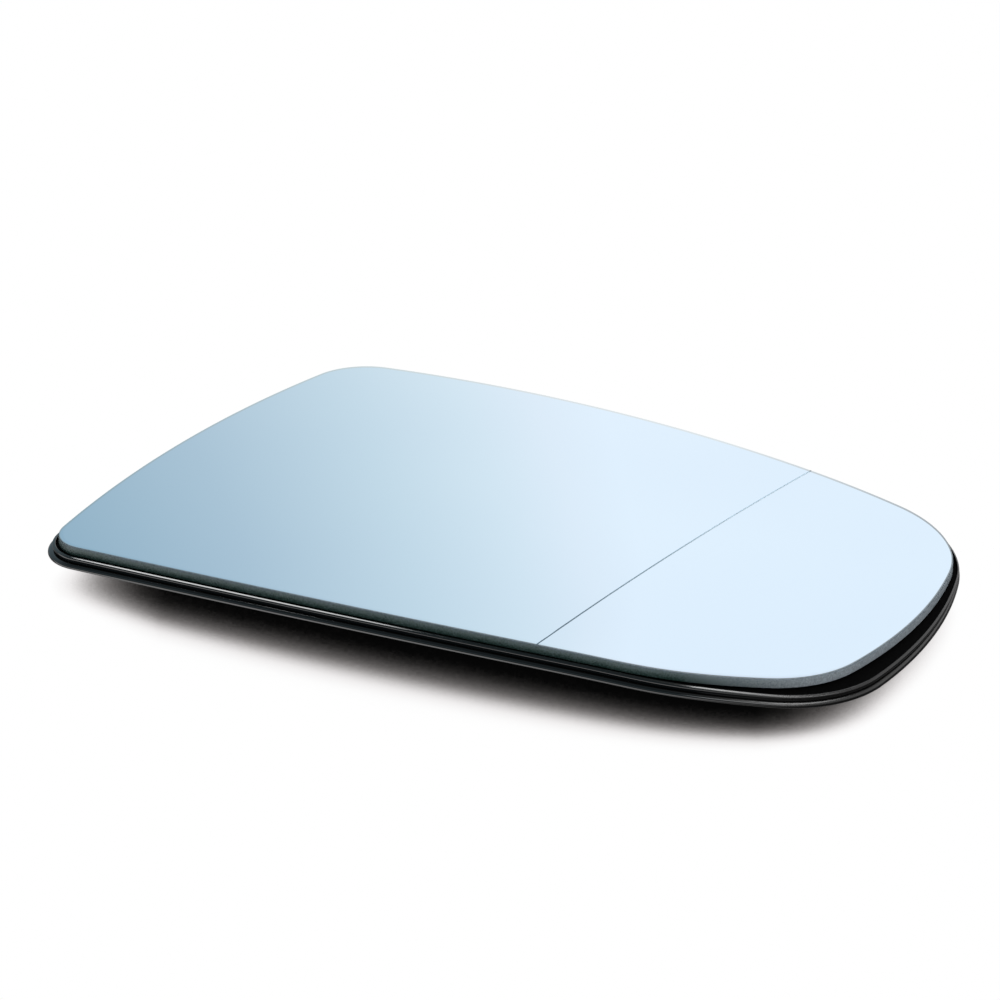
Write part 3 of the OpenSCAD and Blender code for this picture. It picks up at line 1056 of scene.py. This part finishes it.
barb_top = HOOK_RISE + BARB_H
hook_profile = [
    (HOOK_R, IN_PLATE),
    (HOOK_R, barb_top),
    (HOOK_R - BARB_OUT, barb_top),
    (HOOK_R - BARB_OUT, barb_top - BARB_OUT / 2),
    (HOOK_R, HOOK_RISE),
    (HOOK_R + HOOK_T, HOOK_RISE),
    (HOOK_R + HOOK_T, IN_PLATE),
]
hook = turned_section("hook", hook_profile, HOOK_SWEEP, -HOOK_SWEEP / 2, HOOK_STEPS)
soften_edges(hook, HOOK_SOFT, 2)
report(hook)
for i in range(HOOKS):
    select_only(hook)
    bpy.ops.object.duplicate()
    copy = bpy.context.object
    copy.rotation_euler.z = 2 * math.pi * i / HOOKS
    bpy.ops.object.transform_apply(location=False, rotation=True, scale=False)
    parts.append(copy)
bpy.data.objects.remove(hook)

for part in parts:
    part.data.materials.clear()
    part.data.materials.append(GRAINED_ABS)
select_only(plate, *parts)
bpy.ops.object.join()
smooth(plate, 35)
report(plate)

# %% [markdown]
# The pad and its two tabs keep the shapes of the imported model, which are right:
# remaking them would only risk their fit. So they get their finishes and nothing
# else, and the two new pieces take the places of the glass and the plate.

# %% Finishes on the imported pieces
def dress(node, material):
    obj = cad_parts[node]
    obj.data.materials.clear()
    obj.data.materials.append(material)


dress("heating_pad", HEATER_FILM)
dress("terminal_upper", TIN_PLATE)
dress("terminal_lower", TIN_PLATE)

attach(pane, "root")
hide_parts("mirror_glass")
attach(plate, "root")
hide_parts("backing_plate")
print("pieces dressed")

# %% [markdown]
# The floor is a sheet of white paper under a very wide light, and such a light leaves
# the softest of shadows: each point is as dark as the share of sky that the part
# hides from it. Real lamps of that size would wash out the rim. So the paper asks for
# that share, and a ramp turns it into the shadow's tones. At both ends of the part
# other light reaches under it, so there a little is added to the share.

# %% Paper and its shadow
FLOOR_SIZE = 6.0
SKY_REACH = 150.0
SKY_SIDE = (0.0, 0.0, 1.0)
SKY_SAMPLES = 16
SHADE_STOPS = [
    (0.03, "020202"),
    (0.09, "050505"),
    (0.125, "0B0B0B"),
    (0.17, "222120"),
    (0.24, "575453"),
    (0.33, "908D8C"),
    (0.46, "D5D2D2"),
    (0.58, "F2F0F0"),
    (0.75, "FFFFFF"),
]
SHADOW_BEARING = 34.35
OUTER_OPENS = (48.0, 80.0)
OUTER_LIGHT = 0.24
INNER_OPENS = (-79.0, -100.0)
INNER_LIGHT = 0.2

clear_selection()
bpy.ops.mesh.primitive_plane_add(size=FLOOR_SIZE, location=(0, 0, 0))
floor = bpy.context.object
floor.name = floor.data.name = "paper_floor"

shadow_way = unit(math.radians(SHADOW_BEARING))
PAPER, tree, place = new_material("matt_white_paper")
sky_settings = {"samples": SKY_SAMPLES}
sky = add(tree, "AmbientOcclusion", sky_settings, Distance=mm(SKY_REACH), Normal=SKY_SIDE)
spot = add(tree, "SeparateXYZ", Vector=place)
across = add(tree, "Math", {"operation": "MULTIPLY"}, n0=spot.outputs["X"], n1=shadow_way.x)
along = add(
    tree, "Math", {"operation": "MULTIPLY_ADD"}, n0=spot.outputs["Y"], n1=shadow_way.y, n2=across
)
share = sky.outputs["AO"]
for (start, end), light in ((OUTER_OPENS, OUTER_LIGHT), (INNER_OPENS, INNER_LIGHT)):
    opened = add(tree, "MapRange", Value=along, From_Min=mm(start), From_Max=mm(end), To_Max=light)
    share = add(tree, "Math", {"operation": "ADD"}, n0=share, n1=opened)
shadow = add(tree, "ValToRGB", {"stops": SHADE_STOPS}, Fac=share)
seen = add(tree, "Emission", Color=shadow, Strength=1.0)
print("shadow stops:", len(SHADE_STOPS))

# %% [markdown]
# Black gloss shows nothing but what it mirrors. What draws the bead is a glowing band
# painted on the paper in front of the part, along its near edge: a painted reflection,
# brighter than the lit paper. The whole sheet as bright as that would turn the rim
# grey, so glossy rays alone find the band, and it fades toward the outer end. From
# below the paper lets the camera through.

# %% Paper in the gloss and from below
SHEEN = 2.4
SHEEN_LEAST = 0.3
SHEEN_FADES = (70.0, 100.0)
EDGE_SLOPE = 0.122
BAND_START = -100.0
BAND_END = -40.0
BAND_STOPS = [
    (0.0, "484848"),
    (0.28, "484848"),
    (0.42, "F4F4F4"),
    (0.62, "FFFFFF"),
    (0.8, "606060"),
]

beside = add(
    tree,
    "Math",
    {"operation": "MULTIPLY_ADD"},
    n0=spot.outputs["X"],
    n1=-EDGE_SLOPE,
    n2=spot.outputs["Y"],
)
band = add(tree, "MapRange", Value=beside, From_Min=mm(BAND_START), From_Max=mm(BAND_END))
fading = add(
    tree,
    "MapRange",
    Value=spot.outputs["X"],
    From_Min=mm(SHEEN_FADES[0]),
    From_Max=mm(SHEEN_FADES[1]),
    To_Min=SHEEN,
    To_Max=SHEEN_LEAST * SHEEN,
)
# Painted reflection: a glow on the paper that only glossy rays see.
sheen = add(tree, "ValToRGB", {"stops": BAND_STOPS}, Fac=band)
glint = add(tree, "Emission", Color=sheen, Strength=fading)
lit = add(tree, "BsdfDiffuse", Color=colour("F4F4F4"), Roughness=1.0)
rays = add(tree, "LightPath")
under = add(tree, "NewGeometry").outputs["Backfacing"]
from_below = add(
    tree, "Math", {"operation": "MULTIPLY"}, n0=rays.outputs["Is Camera Ray"], n1=under
)
paper = add(tree, "MixShader", n0=rays.outputs["Is Camera Ray"], n1=lit, n2=seen)
paper = add(tree, "MixShader", n0=rays.outputs["Is Glossy Ray"], n1=paper, n2=glint)
paper = add(tree, "MixShader", n0=from_below, n1=paper, n2=add(tree, "BsdfTransparent"))
add(tree, "OutputMaterial", Surface=paper)
floor.data.materials.append(PAPER)
print("nodes in the paper:", len(tree.nodes))

# %% [markdown]
# A mirror shows its surroundings. Walls could be built around the part, but they
# would cast shadows and slow the render, so the room is painted on the world, for
# rays that leave a glossy surface: a far wall that is greyer and bluer to the left,
# as an unlit corner of a studio is, under a darker ceiling. The wall alone tints the
# pane from left to right. The camera sees plain white behind it all.

# %% Room
ROOM_LIGHT = 0.15
ROOM_TURN = -math.radians(CAMERA_SIDE)
WALL_LEFT = -0.2
WALL_RIGHT = 0.0
WALL_SLANT = -0.1
WALL_STOPS = [
    (0.0, "A1B9C4"),
    (0.33, "C0CFD6"),
    (0.6, "DCE6E8"),
    (0.78, "EEF3F3"),
    (0.9, "FAFAFA"),
    (1.0, "FFFFFF"),
]
CEILING_START = 0.56
CEILING_END = 0.74
CEILING = 0.4

world = bpy.data.worlds.new("studio")
bpy.context.scene.world = world
world.use_nodes = True
tree = world.node_tree
tree.nodes.clear()
direction = add(tree, "TexCoord").outputs["Generated"]
turned = add(tree, "Mapping", Vector=direction, Rotation=(0, 0, ROOM_TURN))
look = add(tree, "SeparateXYZ", Vector=turned)
height = look.outputs["Z"]
slanted = add(
    tree, "Math", {"operation": "MULTIPLY_ADD"}, n0=height, n1=WALL_SLANT, n2=look.outputs["X"]
)
place = add(tree, "MapRange", Value=slanted, From_Min=WALL_LEFT, From_Max=WALL_RIGHT)
wall = add(tree, "ValToRGB", {"stops": WALL_STOPS}, Fac=place)
facing = add(
    tree,
    "MapRange",
    Value=height,
    From_Min=CEILING_START,
    From_Max=CEILING_END,
    To_Min=1.0,
    To_Max=CEILING,
)
plain = add(tree, "Background", Color=colour("FFFFFF"), Strength=ROOM_LIGHT)
mirrored = add(tree, "Background", Color=wall, Strength=facing)
backdrop = add(tree, "Background", Color=colour("FFFFFF"), Strength=1.0)
rays = add(tree, "LightPath")
room = add(tree, "MixShader", n0=rays.outputs["Is Glossy Ray"], n1=plain, n2=mirrored)
room = add(tree, "MixShader", n0=rays.outputs["Is Camera Ray"], n1=room, n2=backdrop)
add(tree, "OutputWorld", Surface=room)
print("nodes in the room:", len(tree.nodes))

# %% [markdown]
# Four lamps shape the black rim. The big one in front and the one overhead light the
# ground edge and the outer end. The two small ones stand far behind and high: the lip
# hides the bead from them, so they draw a streak on the lip and nowhere else. Their
# size decides where the streak begins and ends. Bright patches painted on the world
# would do the same, but a lamp is easier to move and casts its light cleanly.

# %% Softboxes
SOFTBOXES = {
    "front": ((1500.0, -1500.0, 1800.0), (1700.0, 1300.0), 3.4),
    "far_left": ((-1453.0, 823.0, 1920.0), (320.0, 570.0), 9.0),
    "far_right": ((-249.0, 1076.0, 2304.0), (520.0, 300.0), 9.0),
    "high_right": ((860.0, 290.0, 2320.0), (1300.0, 1100.0), 7.0),
}


def softbox(name, place, size, radiance):
    """A rectangular lamp that looks at the part, as strong as its face is bright."""
    lamp = bpy.data.lights.new(name, "AREA")
    lamp.shape = "RECTANGLE"
    lamp.size, lamp.size_y = mm(size[0]), mm(size[1])
    lamp.energy = radiance * math.pi * lamp.size * lamp.size_y
    made = bpy.data.objects.new(name, lamp)
    bpy.context.scene.collection.objects.link(made)
    made.location = [mm(c) for c in place]
    made.rotation_euler = (-Vector(place)).to_track_quat("-Z", "Y").to_euler()
    print("lamp", name, round(lamp.energy, 1), "W")


for name, settings in SOFTBOXES.items():
    softbox(name, *settings)
bpy.context.scene.view_settings.view_transform = "Standard"
